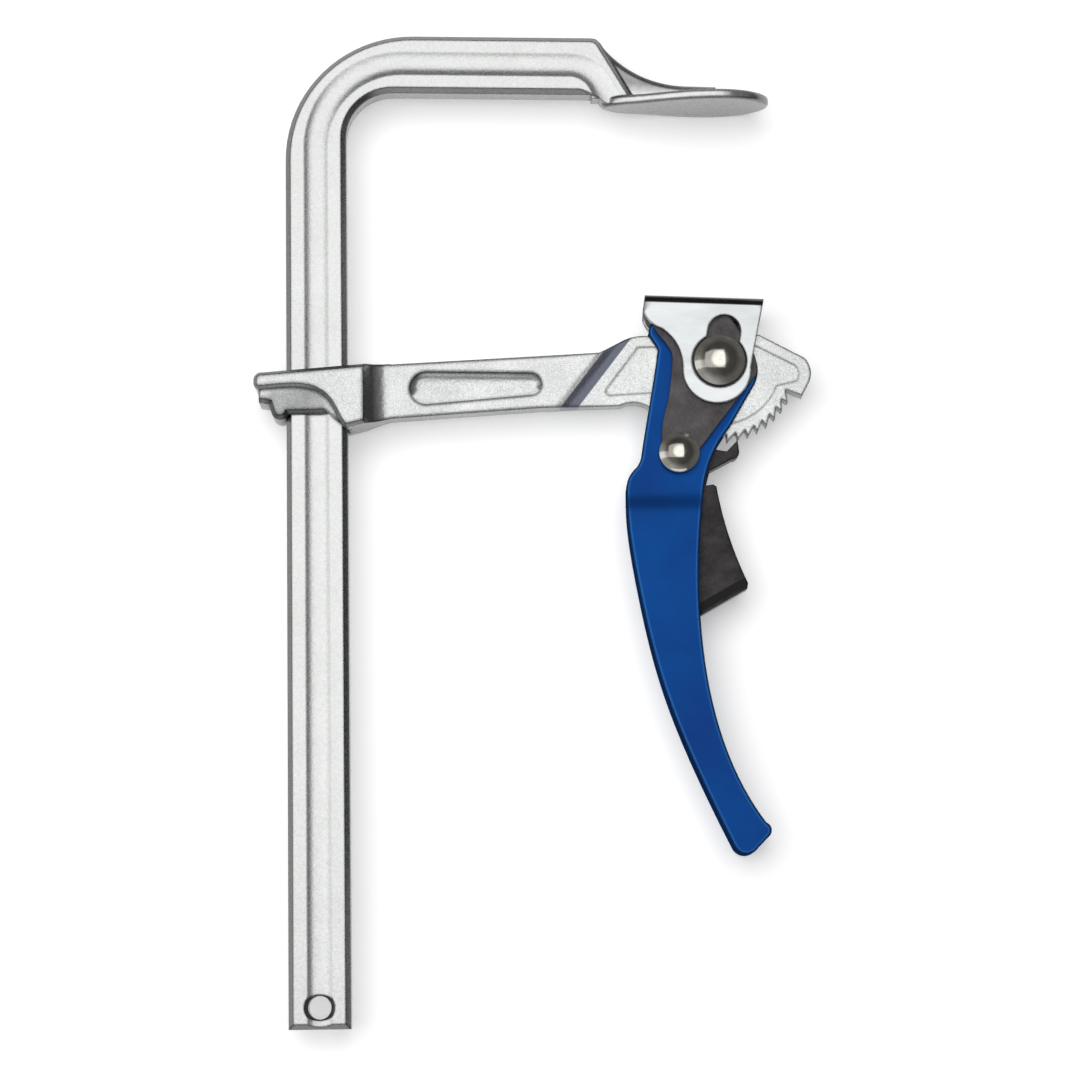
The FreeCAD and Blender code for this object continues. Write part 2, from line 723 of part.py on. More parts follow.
pivot_rivet = rivet("pivot_rivet", size.shank_radius, size.pivot_head_radius, size.pivot_head_height,
                    cheek_outer + size.running_gap)
place_at_pivot(pivot_rivet)
pawl_rivet = rivet("pawl_rivet", size.pawl_shank_radius, size.pawl_head_radius, size.pawl_head_height,
                   cam_outer)
pawl_rivet.setExpression("Placement.Base.x", "sizes.pivot_reach - sizes.pawl_left")
pawl_rivet.setExpression("Placement.Base.y", "sizes.slide_height + sizes.pivot_rise - sizes.pawl_drop")


# Release pawl: nose and trigger in one lever
hub_radius = 7.2


def pawl_outline():
    run = Outline(pawl_x, pawl_y + hub_radius)
    run.curve((pawl_x + 11.5, pawl_y + 2.4), (2.5, -35.1))
    nose = polar(size.tooth_tip + 0.28, -77.6)
    run.line(*nose).line(7.1, -32.9).line(7.2, -34.3)
    run.arc((6.9, -36.9), (4.4, -38.3)).line(-4.5, -42.9)
    run.line(-6.0, -48.6).line(-3.1, -48.2).line(-1.9, -49.1)
    run.curve((2.8, -69.5), (9.6, -87.4)).line(9.3, -89.5).line(-8.7, -99.5)
    run.curve((-15.5, -82), (-18.5, -62), (pawl_x - 5.6, pawl_y - 4.5))
    run.arc((pawl_x - hub_radius, pawl_y), (pawl_x, pawl_y + hub_radius))
    return run.edges


coil_radius = size.pawl_shank_radius + size.running_gap + size.wire_diameter / 2
pawl = new_body("release_pawl")
pad(pawl, "lever", "XY", pawl_outline(), "2 * sizes.head_half")
pocket(pawl, "pawl_bore", "XY", circle(pawl_x, pawl_y, size.pawl_shank_radius + size.pivot_play))
pocket(pawl, "spring_seat", "XY", circle(pawl_x, pawl_y, hub_radius + 1.3),
       "2 * sizes.wire_diameter + 3 * sizes.running_gap", offset=-size.head_half,
       symmetric=False, reversed_cut=True)
place_at_pivot(pawl)


# Pawl spring: a turn of wire round the rivet, one leg to the web and one to the trigger
def wire_leg(start, direction, length):
    return Part.makeCylinder(size.wire_diameter / 2, length, start, direction)


def spring_shape():
    wire = size.wire_diameter
    pitch = wire * 1.12
    floor = -size.head_half + size.running_gap + wire / 2
    helix = Part.makeHelix(pitch, pitch, coil_radius)
    corners = [polar(wire / 2, 45 * number) for number in range(9)]
    section = Part.makePolygon([Vector(coil_radius + x, 0, z) for x, z in corners])
    coil = Part.Wire(helix.Edges).makePipeShell([section], True, True)
    web_leg = wire_leg(Vector(coil_radius, 0, 0), Vector(0, -1, 0), 8.0)
    trigger_leg = wire_leg(Vector(coil_radius, 0, pitch), Vector(0, 1, 0), 6.4)
    whole = coil.fuse([web_leg, trigger_leg])
    whole.rotate(Vector(0, 0, 0), Vector(0, 0, 1), -95)
    whole.translate(Vector(0, 0, floor))
    return whole


spring = doc.addObject("Part::Feature", "pawl_spring")
spring.Shape = spring_shape()
spring.Label = "pawl_spring"
spring.setExpression("Placement.Base.x", "sizes.pivot_reach - sizes.pawl_left")
spring.setExpression("Placement.Base.y", "sizes.slide_height + sizes.pivot_rise - sizes.pawl_drop")


# Handle: one folded pressing, two ears above and an open grip channel below
FLARE_TOP = -47.0
FLARE_END = -64.0
WEB_TOP = -45.0
GRIP_END = -196.0
EAR_TOP = 30.0
TURN_YZ = Rotation(Vector(1, 1, 1), 120)


# The channel's back from the web's top to the handle's end, about the pivot
BACK_RUN = [(-37.4, -49.8), (-37.2, -60.7), (-33.9, -85.9), (-24.5, -127.5), (-11.8, -161.2), (1.6, -190.2)]
END_MIDDLE = (5.6, -193.2)
END_RUN = [(10.8, -190.8), (15.4, -186.2)]


def inset(points, distance):
    """The run moved square to itself, to its left when followed from first to last."""
    moved = []
    for number, (x, y) in enumerate(points):
        before = points[max(number - 1, 0)]
        after = points[min(number + 1, len(points) - 1)]
        run = Vector(after[0] - before[0], after[1] - before[1], 0).normalize()
        moved.append((x - run.y * distance, y + run.x * distance))
    return moved


def handle_outline():
    flank = cam_flank(0.8)
    run = Outline(*flank[0]).curve(*flank[1:]).line(*flank_end(0.8))
    run.arc((15.1, -1.0), (13.8, -8.8)).line(3.7, -25.7).curve((-3.9, -38.4), (-6.9, -49.6))
    run.curve((-9.5, -76), (-9.2, -108), (-4.9, -137.6), (4.5, -165.0), (14.1, -181.1))
    run.arc((16.1, -183.6), END_RUN[1]).line(*END_RUN[0]).arc(END_MIDDLE, BACK_RUN[-1])
    run.curve(*reversed(BACK_RUN[:-1]))
    run.arc((-36.6, -46.0), (-33.2, -41.4)).arc((-31.8, -38.9), (-31.1, -36.3))
    run.curve((-28.3, -20.0), (-26.0, -7.4), (-23.9, 5.9)).line(-27.3, 11.3)
    run.arc((-27.3, 13.9), (-26.1, 16.1))
    return run.close()


def hollow_outline():
    """The channel's inside, open to the right, where the trigger stands out, and to the top."""
    back = inset(BACK_RUN, size.sheet_handle)
    end = inset(END_RUN, size.sheet_handle)
    run = Outline(-60, 40).line(-60, WEB_TOP).line(-34.2 + size.sheet_handle, WEB_TOP)
    run.line(*back[0]).curve(*back[1:])
    run.arc((END_MIDDLE[0], END_MIDDLE[1] + size.sheet_handle), end[0]).line(*end[1])
    run.line(end[1][0] + 20, end[1][1] + 20).line(60, 40)
    return run.close()


def loose_sketch(name, edges, placement=Placement()):
    sketch = doc.addObject("Sketcher::SketchObject", name)
    for edge in edges:
        sketch.addGeometry(edge, False)
    sketch.Placement = placement
    return sketch


def extrusion(name, base, direction, length):
    feature = doc.addObject("Part::Extrusion", name)
    feature.Base = base
    feature.DirMode = "Custom"
    feature.Dir = direction
    feature.Solid = True
    feature.Symmetric = True
    feature.setExpression("LengthFwd", length)
    return feature


def side_profile(name, upper, lower):
    """Width of the folded sheet along the handle, seen from its edge: narrow ears, wide grip."""
    middle = ((FLARE_TOP + FLARE_END) / 2, (upper + lower) / 2)
    quarter = (FLARE_END - FLARE_TOP) / 4
    rise = (lower - upper) / 4
    bow = rise * 0.5
    run = Outline(EAR_TOP, upper).line(FLARE_TOP, upper)
    run.arc((FLARE_TOP + quarter, upper + rise - bow), middle)
    run.arc((FLARE_END - quarter, lower - rise + bow), (FLARE_END, lower))
    run.line(GRIP_END + 40, lower).line(GRIP_END - 5, lower - 1.2)
    run.line(GRIP_END - 5, -lower + 1.2).line(GRIP_END + 40, -lower).line(FLARE_END, -lower)
    run.arc((FLARE_END - quarter, -lower + rise - bow), (middle[0], -middle[1]))
    run.arc((FLARE_TOP + quarter, -upper - rise + bow), (FLARE_TOP, -upper)).line(EAR_TOP, -upper)
    sketch = loose_sketch(name + "_sketch", run.close(), Placement(Vector(), TURN_YZ))
    feature = extrusion(name, sketch, Vector(1, 0, 0), "300")
    return feature


def common(name, *shapes):
    feature = doc.addObject("Part::MultiCommon", name)
    feature.Shapes = list(shapes)
    return feature


outline_sketch = loose_sketch("handle_outline", handle_outline())
blank = extrusion("handle_blank", outline_sketch, Vector(0, 0, 1), "2 * sizes.grip_half")
outside = side_profile("handle_side", ear_outer, size.grip_half)
shell = common("handle_outside", blank, outside)
hollow_sketch = loose_sketch("handle_hollow_outline", hollow_outline())
open_space = extrusion("handle_open_space", hollow_sketch, Vector(0, 0, 1), "2 * sizes.grip_half")
inside = side_profile("handle_inner_side", ear_inner, size.grip_half - size.sheet_handle)
hollow = common("handle_hollow", open_space, inside)


def drill(name, x, y, radius):
    feature = doc.addObject("Part::Cylinder", name)
    feature.setExpression("Radius", radius)
    feature.Height = 60
    feature.Placement = Placement(Vector(x, y, -30), Rotation())
    return feature


removed = doc.addObject("Part::MultiFuse", "handle_removed")
removed.Shapes = [
    hollow,
    drill("handle_pivot_hole", 0, 0, "sizes.shank_radius"),
    drill("handle_pawl_hole", pawl_x, pawl_y, "sizes.pawl_shank_radius"),
]
handle = doc.addObject("Part::Cut", "handle")
handle.Base = shell
handle.Tool = removed
handle.Label = "handle"
place_at_pivot(handle)


NODES = [bail, arm, handle, cam_front, cam_back, cap, pivot_rivet, pawl_rivet, pawl, spring]
doc.recompute()
for item in doc.Objects:
    bad = [state for state in item.State if state in ("Invalid", "Error")]
    if bad:
        raise RuntimeError(f"{item.Name}: {bad}")
for node in NODES:
    if node.Shape.isNull() or not node.Shape.isValid() or len(node.Shape.Solids) != 1:
        raise RuntimeError(f"{node.Label}: bad shape with {len(node.Shape.Solids)} solids")

os.makedirs("parts", exist_ok=True)
for node in NODES:
    node.Shape.exportStep(f"parts/{node.Label}.step")
    box = node.Shape.BoundBox
    print(f"{node.Label}: {box.XLength:.1f} x {box.YLength:.1f} x {box.ZLength:.1f} mm")
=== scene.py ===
import math

import bpy
from mathutils import Matrix, Vector


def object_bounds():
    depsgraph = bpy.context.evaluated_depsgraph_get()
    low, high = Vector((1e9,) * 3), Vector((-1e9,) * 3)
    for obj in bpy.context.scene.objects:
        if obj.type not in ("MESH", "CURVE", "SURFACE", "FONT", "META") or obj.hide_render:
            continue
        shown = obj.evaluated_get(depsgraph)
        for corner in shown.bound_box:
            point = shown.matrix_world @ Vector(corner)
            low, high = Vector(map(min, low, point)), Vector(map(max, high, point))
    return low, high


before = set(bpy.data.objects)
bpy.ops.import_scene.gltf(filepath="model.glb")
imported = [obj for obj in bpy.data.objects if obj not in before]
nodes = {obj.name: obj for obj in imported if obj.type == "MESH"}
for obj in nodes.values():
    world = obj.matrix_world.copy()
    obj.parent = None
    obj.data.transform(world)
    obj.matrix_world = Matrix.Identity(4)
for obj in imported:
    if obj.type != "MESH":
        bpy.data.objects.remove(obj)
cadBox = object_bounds()
print("frame loaded:", len(nodes), "pieces")


# camera: above the clamp, tipped a little towards the jaw end
camera = dict(place=(0.081623, 0.002034, 1.260302), target=(0.084190, 0.183628, 0.0), roll=0.81, lens=109.52,
              sensor=36, reach=20)


def makeCamera(look):
    data = bpy.data.cameras.new("studioCamera")
    data.lens = look["lens"]
    data.sensor_width = look["sensor"]
    data.clip_end = look["reach"]
    eye = Vector(look["place"])
    back = (eye - Vector(look["target"])).normalized()
    roll = math.radians(look["roll"])
    right = Vector((math.cos(roll), -math.sin(roll), 0))
    up = back.cross(right).normalized()
    right = up.cross(back)
    turned = Matrix((right, up, back)).transposed().to_4x4()
    holder = bpy.data.objects.new("studioCamera", data)
    holder.matrix_world = Matrix.Translation(eye) @ turned
    bpy.context.scene.collection.objects.link(holder)
    bpy.context.scene.camera = holder


makeCamera(camera)


# node helpers
def addNode(tree, kind, inputs=None, **settings):
    made = tree.nodes.new("ShaderNode" + kind)
    for key, value in settings.items():
        setattr(made, key, value)
    for key, value in (inputs or {}).items():
        if isinstance(value, bpy.types.NodeSocket):
            tree.links.new(value, made.inputs[key])
        else:
            made.inputs[key].default_value = value
    return made


def newMaterial(name):
    # an empty material with its node tree and the piece's own coordinates
    material = bpy.data.materials.new(name)
    material.use_nodes = True
    tree = material.node_tree
    tree.nodes.clear()
    return material, tree, addNode(tree, "TexCoord").outputs["Object"]


def finishMaterial(tree, colour, roughness, normal, metallic=1.0):
    shader = addNode(tree, "BsdfPrincipled", {
        "Base Color": colour, "Metallic": metallic, "Roughness": roughness, "Normal": normal})
    addNode(tree, "OutputMaterial", {"Surface": shader.outputs[0]})
    return shader


def rgba(colour):
    return (*colour, 1.0)


def calculate(tree, operation, first, second=0.0):
    return addNode(tree, "Math", {0: first, 1: second}, operation=operation).outputs[0]


def calculateVector(tree, operation, first, second=(0, 0, 0)):
    made = addNode(tree, "VectorMath", {0: first, 1: second}, operation=operation)
    single = operation in ("DOT_PRODUCT", "DISTANCE", "LENGTH")
    return made.outputs["Value" if single else "Vector"]


def partOf(tree, vector, axis):
    return addNode(tree, "SeparateXYZ", {0: vector}).outputs[axis]


def trueNormal(tree):
    return addNode(tree, "NewGeometry").outputs["Normal"]


def flatness(tree):
    # 1 on faces that lie flat, 0 on upright walls
    return calculate(tree, "ABSOLUTE", partOf(tree, trueNormal(tree), "Z"))


def mixed(tree, kind, share, first, second, **settings):
    inputs = {"Factor": share, "A": first, "B": second}
    return addNode(tree, "Mix", inputs, data_type=kind, **settings).outputs["Result"]


def mixColours(tree, share, first, second, blend="MIX"):
    return mixed(tree, "RGBA", share, first, second, blend_type=blend)


def noiseField(tree, vector, scale, detail=3.0, roughness=0.55, stretch=(1, 1, 1)):
    # smooth random field over the piece, scale in waves per metre
    mapped = addNode(tree, "Mapping", {"Vector": vector, "Scale": stretch})
    return addNode(tree, "TexNoise", {
        "Vector": mapped.outputs[0], "Scale": scale, "Detail": detail, "Roughness": roughness}).outputs["Fac"]


def colourSteps(tree, amount, steps):
    # steps are pairs of a position along the amount and the colour there, in rising order
    made = addNode(tree, "ValToRGB", {"Fac": amount})
    elements = made.color_ramp.elements
    for index, (position, colour) in enumerate(steps):
        element = elements[index] if index < 2 else elements.new(position)
        element.position, element.color = position, rgba(colour)
    return made.outputs["Color"]


def blendColours(tree, amount, low, high, span=(0.3, 0.7)):
    # amount from span[0] to span[1] goes from the low colour to the high one
    return colourSteps(tree, amount, [(span[0], low), (span[1], high)])


def rescale(tree, value, low, high, span=(0.3, 0.7)):
    # value from span[0] to span[1] goes from low to high
    return addNode(tree, "MapRange", {
        "Value": value, "From Min": span[0], "From Max": span[1], "To Min": low, "To Max": high}).outputs[0]


def bumped(tree, height, strength, distance, under=None):
    inputs = {"Height": height, "Strength": strength, "Distance": distance}
    if under is not None:
        inputs["Normal"] = under
    return addNode(tree, "Bump", inputs).outputs["Normal"]


roundingSamples = 6


def roundedEdges(tree, radius):
    # normals that turn smoothly over the sharp edges of the solids
    return addNode(tree, "Bevel", {"Radius": radius}, samples=roundingSamples).outputs["Normal"]


# flatness up to which a surface is a wall, and from which it is a bevel
wallEnd, bevelStart = 0.15, 0.32


def paintedEdgeShade(tree, colour, look, rounded=None, kept=0.0):
    # painted shade: the colour times look["side"] on upright walls, look["bevel"] on bevels and 1 on faces,
    # by how far the surface leans from lying flat, and look["line"] where the rounded normal leaves the true
    # one;
    # kept is the share left untouched
    bevelEnd, faceStart = look["flat"]
    side, bevel = [look["side"]] * 3, [look["bevel"]] * 3
    paintedLight = colourSteps(tree, flatness(tree), [
        (wallEnd, side), (bevelStart, bevel), (bevelEnd, bevel), (faceStart, (1, 1, 1))])
    changed = calculate(tree, "SUBTRACT", 1.0, kept)
    colour = mixColours(tree, changed, colour, paintedLight, "MULTIPLY")
    if rounded is None:
        return colour
    turn = calculateVector(tree, "DOT_PRODUCT", trueNormal(tree), rounded)
    return mixColours(tree, changed, colour, rescale(tree, turn, look["line"], 1.0, look["turn"]), "MULTIPLY")


# a strip's edge fades over a third of a millimetre
stripFade = (-0.0002, 0.00015)


def paintShadeStrip(tree, colour, place, strip, share=1.0):
    # painted shade: the strip's colour left of the line from its foot to its top, as wide as the strip:
    # inside = w / 2 - |distance to the strip's middle line|
    foot = Vector((*strip["foot"], 0))
    run = Vector((*strip["top"], 0)) - foot
    across = Vector((run.y, -run.x, 0)).normalized()
    half = strip["width"] / 2
    offset = calculateVector(tree, "SUBTRACT", place, foot - across * half)
    aside = calculateVector(tree, "DOT_PRODUCT", offset, across)
    inside = calculate(tree, "SUBTRACT", half, calculate(tree, "ABSOLUTE", aside))
    mask = rescale(tree, inside, 0.0, 1.0, stripFade)
    return mixColours(tree, calculate(tree, "MULTIPLY", mask, share), colour, rgba(strip["colour"]))


# plated steel: bright satin plating, on the bar over a fine grain, on the forged arm over a coarse one
plating = dict(
    low=(0.66, 0.67, 0.66), high=(0.87, 0.88, 0.87), blend=(0.26, 0.70), roughness=(0.22, 0.32),
    grain=dict(scale=2600, detail=2.0, roughness=0.7), grainBump=(0.20, 0.0001),
    pits=dict(scale=700), pitBump=(0.35, 0.00009), cloud=dict(scale=55, detail=4.0), cloudShare=0.25,
    edge=(0.0011, 0.0011), side=0.42, bevel=0.30, flat=(0.78, 0.90), line=0.30, turn=(0.94, 0.997))
forging = dict(
    plating, low=(0.56, 0.58, 0.57), high=(0.93, 0.94, 0.93), blend=(0.38, 0.62), roughness=(0.22, 0.34),
    grain=dict(scale=2300, detail=2.0, roughness=0.7), pits=dict(scale=620), pitBump=(0.35, 0.00020),
    edge=(0.0024, 0.0015), bevel=0.36, flat=(0.80, 0.92), line=0.10, turn=(0.86, 0.985))
# where the rounding of the edges goes over from the first radius to the second, along x
roundingChange = (0.098, 0.112)
# the arm's recess from end to end with its radius at each end: the floor is dished, and below the middle
# line the normals are laid back towards upright
recess = dict(start=(0.0431, 0.24105), end=(0.0842, 0.24215), radii=(0.0066, 0.0045), dish=0.0013,
              rim=(0.90, 1.0), inside=0.999, laidBack=0.75, lowerStart=(0.0005, 0.0025))
# painted shade on the ramp beside the head
rampShadeStrip = dict(foot=(0.1025, 0.2322), top=(0.1222, 0.2575), width=0.0055, colour=(0.15, 0.16, 0.20))
# painted shade in hollows: middle, half sizes and height above the middle plane
ribHollow = dict(middle=(0.138, 0.373), half=(0.026, 0.012), below=0.0048, paintedLight=(0.36, 0.54))
lobeHollow = dict(middle=(-0.0085, 0.2335), half=(0.0135, 0.0085), below=0.0093, paintedLight=(0.42, 0.63))
hollowRagged, hollowFade = 0.5, (1.1, 1.4)


def slotRun(look):
    start = Vector((*look["start"], 0))
    return start, Vector((*look["end"], 0)) - start


def slotShare(tree, place, look):
    # share d / r of the way from the slot's middle line to its side, 1 outside
    start, run = slotRun(look)
    flat = calculateVector(tree, "MULTIPLY", place, (1, 1, 0))
    offset = calculateVector(tree, "SUBTRACT", flat, start)
    along = calculateVector(tree, "DOT_PRODUCT", offset, run / run.length_squared)
    share = addNode(tree, "Clamp", {"Value": along}).outputs[0]
    middle = addNode(tree, "VectorMath", {0: run, "Scale": share}, operation="SCALE").outputs[0]
    distance = calculateVector(tree, "DISTANCE", offset, middle)
    radius = rescale(tree, share, *look["radii"], span=(0, 1))
    return calculate(tree, "MINIMUM", calculate(tree, "DIVIDE", distance, radius), 1.0)


def lowerSide(tree, place, look):
    # 1 below the slot's middle line, 0 above it
    start, run = slotRun(look)
    offset = calculateVector(tree, "SUBTRACT", place, start)
    aside = calculateVector(tree, "DOT_PRODUCT", offset, Vector((run.y, -run.x, 0)).normalized())
    return rescale(tree, aside, 0.0, 1.0, look["lowerStart"])


def laidBack(tree, normal, share):
    # the normal turned towards straight up or down: n + share * (upright - n)
    way = calculate(tree, "SIGN", partOf(tree, trueNormal(tree), "Z"))
    upright = addNode(tree, "CombineXYZ", {2: way}).outputs[0]
    return calculateVector(tree, "NORMALIZE", mixed(tree, "VECTOR", share, normal, upright))


def hollowMask(tree, place, look, ragged):
    # 1 inside the oval (x / a) ^ 2 + (y / b) ^ 2 < 1 on the faces below the given height, with a ragged rim
    offset = calculateVector(tree, "SUBTRACT", place, (*look["middle"], 0))
    scale = (1 / look["half"][0], 1 / look["half"][1], 0)
    reach = calculateVector(tree, "LENGTH", calculateVector(tree, "MULTIPLY", offset, scale))
    reach = calculate(tree, "ADD", reach, calculate(tree, "MULTIPLY", ragged, hollowRagged))
    height = calculate(tree, "ABSOLUTE", partOf(tree, place, "Z"))
    low = calculate(tree, "LESS_THAN", height, look["below"])
    return calculate(tree, "MULTIPLY", rescale(tree, reach, 1.0, 0.0, hollowFade), low)


def platedSteel(name, look, hollow, slot=None, strip=None):
    material, tree, place = newMaterial(name)
    grain = noiseField(tree, place, **look["grain"])
    cloud = noiseField(tree, place, **look["cloud"])
    pits = noiseField(tree, place, **look["pits"])
    amount = mixed(tree, "FLOAT", look["cloudShare"], grain, cloud)
    colour = blendColours(tree, amount, look["low"], look["high"], look["blend"])
    roughness = rescale(tree, pits, *look["roughness"])
    rounded = roundedEdges(tree, rescale(tree, partOf(tree, place, "X"), *look["edge"], roundingChange))
    normal = bumped(tree, pits, *look["pitBump"], rounded)
    normal = bumped(tree, grain, *look["grainBump"], normal)
    kept = 0.0
    if slot:
        # height -dish * (1 - (d / r) ^ 2)
        ratio = slotShare(tree, place, slot)
        rise = calculate(tree, "SUBTRACT", calculate(tree, "MULTIPLY", ratio, ratio), 1.0)
        normal = bumped(tree, calculate(tree, "MULTIPLY", rise, slot["dish"]), 1.0, 1.0, normal)
        kept = rescale(tree, ratio, 1.0, 0.0, slot["rim"])
        inside = calculate(tree, "LESS_THAN", ratio, slot["inside"])
        lower = calculate(tree, "MULTIPLY", lowerSide(tree, place, slot), inside)
        normal = laidBack(tree, normal, calculate(tree, "MULTIPLY", lower, slot["laidBack"]))
    # painted shade on walls, bevels and along the edges, then in the hollow and on the strip
    colour = paintedEdgeShade(tree, colour, look, rounded, kept)
    hollowShade = rescale(tree, cloud, *hollow["paintedLight"])
    colour = mixColours(tree, hollowMask(tree, place, hollow, cloud), colour, hollowShade, "MULTIPLY")
    if strip:
        colour = paintShadeStrip(tree, colour, place, strip)
    finishMaterial(tree, colour, roughness, normal)
    return material


# pressed sheet: bright chrome with a faint haze; the painted shade line along the edges grows towards the
# bend
chrome = dict(
    low=(0.60, 0.63, 0.64), high=(0.84, 0.86, 0.87), roughness=(0.12, 0.22),
    haze=dict(scale=60, detail=5.0, stretch=(0.4, 1.6, 1)), ripple=dict(scale=70, detail=1.0),
    rippleBump=(0.12, 0.0006), edge=0.0012, bend=0.0055, bendStart=(0.2690, 0.2715), side=0.30, bevel=0.14,
    flat=(0.80, 0.975), line=0.16, turn=(0.74, 0.96), cheek=(0.3, 0.6))
# painted shade: a dark strip on the cheeks along the cap's bend, from the pressing face down
bendShadeStrip = dict(foot=(0.1780, 0.27452), top=(0.1286, 0.27685), width=0.0034, colour=(0.070, 0.070, 0.074))


def chromeSheet(look, strip):
    material, tree, place = newMaterial("chromeSheet")
    haze = noiseField(tree, place, **look["haze"])
    ripple = noiseField(tree, place, **look["ripple"])
    colour = blendColours(tree, haze, look["low"], look["high"])
    roughness = rescale(tree, haze, *look["roughness"])
    normal = bumped(tree, ripple, *look["rippleBump"], roundedEdges(tree, look["edge"]))
    # painted shade along the edges, wider towards the bend, and a painted shade strip on the cheeks
    reach = rescale(tree, partOf(tree, place, "Y"), look["edge"], look["bend"], look["bendStart"])
    colour = paintedEdgeShade(tree, colour, look, roundedEdges(tree, reach))
    cheek = rescale(tree, flatness(tree), 0.0, 1.0, look["cheek"])
    colour = paintShadeStrip(tree, colour, place, strip, cheek)
    finishMaterial(tree, colour, roughness, normal)
    return material


# handle: deep blue stove enamel with a slight orange peel, painted shade in the edge and a painted highlight
# line beside it
enamel = dict(
    low=(0.008, 0.034, 0.170), high=(0.006, 0.072, 0.290), blend=(0.15, 0.85), roughness=(0.22, 0.32),
    roughSpan=(0.1, 0.9), cloud=dict(scale=26, detail=4.0), peel=dict(scale=420, detail=2.0),
    peelBump=(0.10, 0.0003), edge=0.0020, side=0.40, bevel=0.35, flat=(0.55, 0.85),
    rim=(0.012, 0.032, 0.085), paintedGlint=(0.040, 0.230, 0.620), rimReach=0.0016, rimSamples=12,
    rimSpan=(0.66, 0.76, 0.84, 0.95), paintedGlintShare=dict(low=0.0, high=0.65, span=(0.90, 0.98)),
    metallic=dict(low=0.0, high=0.55, span=(0.2, 0.6)), gloss=0.0, glossTint=(0.05, 0.16, 0.45))


def blueEnamel(look):
    material, tree, place = newMaterial("blueEnamel")
    cloud = noiseField(tree, place, **look["cloud"])
    peel = noiseField(tree, place, **look["peel"])
    # painted shade on walls and bevels
    colour = paintedEdgeShade(tree, blendColours(tree, cloud, look["low"], look["high"], look["blend"]), look)
    flat = flatness(tree)
    # along the edges a dark rim of painted shade, then a painted highlight line, by how much of the sheet
    # within reach is solid:
    # a half at an edge, all of it well inside
    solid = addNode(tree, "AmbientOcclusion", {"Distance": look["rimReach"]}, inside=True, only_local=True,
                    samples=look["rimSamples"]).outputs["AO"]
    dark, edgeOfDark, light, clear = look["rimSpan"]
    rim = rescale(tree, solid, 1.0, 0.0, (dark, edgeOfDark))
    rising = rescale(tree, solid, 0.0, 1.0, (edgeOfDark, light))
    falling = rescale(tree, solid, 1.0, 0.0, (light, clear))
    paintedGlint = calculate(tree, "MULTIPLY", rising, falling)
    paintedGlint = calculate(tree, "MULTIPLY", paintedGlint, rescale(tree, flat, **look["paintedGlintShare"]))
    colour = mixColours(tree, rim, colour, rgba(look["rim"]))
    colour = mixColours(tree, paintedGlint, colour, rgba(look["paintedGlint"]))
    roughness = rescale(tree, cloud, *look["roughness"], look["roughSpan"])
    normal = bumped(tree, peel, *look["peelBump"], roundedEdges(tree, look["edge"]))
    shader = finishMaterial(tree, colour, roughness, normal, rescale(tree, flat, **look["metallic"]))
    shader.inputs["Specular Tint"].default_value = rgba(look["glossTint"])
    shader.inputs["Specular IOR Level"].default_value = look["gloss"]
    return material


# cam plates and pawl: blackened steel with a brown cast
oxide = dict(
    low=(0.050, 0.045, 0.046), high=(0.110, 0.099, 0.103), roughness=(0.36, 0.55), metallic=0.55, edge=0.0008,
    cloud=dict(scale=110, detail=6.0, roughness=0.65), grain=dict(scale=1300, detail=2.0),
    grainBump=(0.3, 0.0003))
pawlOxide = dict(
    oxide, low=(0.009, 0.008, 0.008), high=(0.056, 0.050, 0.051), roughness=(0.34, 0.52), edge=0.0012)
# painted shade: a darker strip along the trigger's lower end
triggerFootShade = dict(foot=(0.1497, 0.1508), top=(0.1684, 0.1611), width=0.0034, colour=(0.006, 0.006, 0.006))


def blackOxide(name, look, strip=None):
    material, tree, place = newMaterial(name)
    cloud = noiseField(tree, place, **look["cloud"])
    grain = noiseField(tree, place, **look["grain"])
    colour = blendColours(tree, cloud, look["low"], look["high"])
    roughness = rescale(tree, grain, *look["roughness"])
    normal = bumped(tree, grain, *look["grainBump"], roundedEdges(tree, look["edge"]))
    # painted shade strip, where one is given
    if strip:
        colour = paintShadeStrip(tree, colour, place, strip)
    finishMaterial(tree, colour, roughness, normal, look["metallic"])
    return material


# rivets: polished nickel, warm grey with a faint haze; painted light over the dome by its flatness:
# a lighter foot, a dark ring of painted shade and a painted highlight on the crown
nickel = dict(
    low=(0.74, 0.71, 0.62), high=(0.98, 0.96, 0.88), roughness=(0.08, 0.15), haze=dict(scale=300, detail=4.0),
    hazeBump=(0.05, 0.0003), dome=((0.60, 0.85), (0.84, 0.80), (0.91, 0.36), (0.968, 0.42), (0.985, 1.0)))


def polishedNickel(look):
    material, tree, place = newMaterial("polishedNickel")
    haze = noiseField(tree, place, **look["haze"])
    colour = blendColours(tree, haze, look["low"], look["high"])
    # painted highlight and painted shade over the dome
    paintedLight = colourSteps(tree, flatness(tree), [(position, [level] * 3) for position, level in look["dome"]])
    colour = mixColours(tree, 1.0, colour, paintedLight, "MULTIPLY")
    roughness = rescale(tree, haze, *look["roughness"])
    finishMaterial(tree, colour, roughness, bumped(tree, haze, *look["hazeBump"]))
    return material


# pawl spring: drawn wire, blued
wire = dict(
    low=(0.20, 0.21, 0.23), high=(0.36, 0.37, 0.39), roughness=(0.25, 0.40),
    drawn=dict(scale=900, stretch=(1, 1, 0.2)), drawnBump=(0.2, 0.0001))


def springSteel(look):
    material, tree, place = newMaterial("springSteel")
    drawn = noiseField(tree, place, **look["drawn"])
    colour = blendColours(tree, drawn, look["low"], look["high"])
    roughness = rescale(tree, drawn, *look["roughness"])
    finishMaterial(tree, colour, roughness, bumped(tree, drawn, *look["drawnBump"]))
    return material


